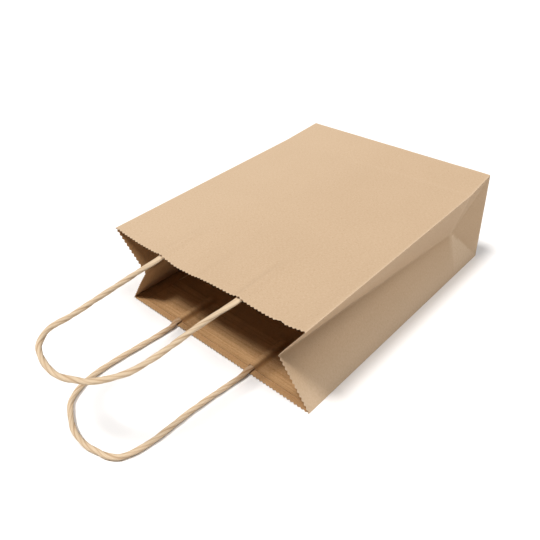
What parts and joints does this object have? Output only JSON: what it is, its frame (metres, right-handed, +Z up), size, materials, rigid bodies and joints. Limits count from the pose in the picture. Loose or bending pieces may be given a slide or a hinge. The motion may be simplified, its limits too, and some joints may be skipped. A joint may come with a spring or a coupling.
{
  "type": "gift bag",
  "caption": "Small brown kraft paper gift bag lying on its back panel, with folded gussets, a block base, a zigzag mouth edge and twisted paper cord handles.",
  "frame": {"origin": "middle of the underside of the back panel, the face that the bag lies on, measured without the handle cords", "axes": "+X along the mouth, +Y from the mouth to the base, +Z up from the back panel to the front panel"},
  "size_m": [0.18, 0.34, 0.078],
  "materials": {
    "kraft": "matt brown kraft paper with fine fibre flecks",
    "patch_kraft": "matt brown kraft paper, as the inside of the bag",
    "paper_cord": "loosely twisted flat strip of kraft paper",
    "dried_glue": "thin film of dried adhesive"
  },
  "bodies": {
    "bag": {"back_panel": "kraft", "left_gusset_lower": "kraft", "left_gusset_upper": "kraft", "left_end_triangle": "kraft", "right_gusset_lower": "kraft", "right_gusset_upper": "kraft", "right_end_triangle": "kraft", "base_tuck_left": "kraft", "base_tuck_right": "kraft", "base_back_flap": "kraft", "base_front_flap": "kraft", "base_glue": "dried_glue", "seam_flap": "kraft", "seam_glue": "dried_glue", "back_patch_glue": "dried_glue", "back_patch_outer": "patch_kraft", "back_patch_inner": "patch_kraft", "back_cord_ends": "paper_cord"},
    "front": {"front_panel": "kraft", "front_patch_glue": "dried_glue", "front_patch_outer": "patch_kraft", "front_patch_inner": "patch_kraft", "front_cord_ends": "paper_cord"},
    "front_handle": {"front_handle_cord": "paper_cord"},
    "back_handle": {"back_handle_cord": "paper_cord"}
  },
  "joints": [
    {"name": "mouth_open", "type": "hinge", "parent": "bag", "child": "front", "pos_m": [0, 0.115, 0.078], "axis": [-1, 0, 0], "range_deg": [0, 2.1]},
    {"name": "front_handle_swing", "type": "hinge", "parent": "front", "child": "front_handle", "pos_m": [0, -0.1202, 0.0667], "axis": [-1, 0, 0], "range_deg": [-12, 75]},
    {"name": "back_handle_swing", "type": "hinge", "parent": "bag", "child": "back_handle", "pos_m": [0, -0.117, 0.00255], "axis": [-1, 0, 0], "range_deg": [0, 16]}
  ]
}
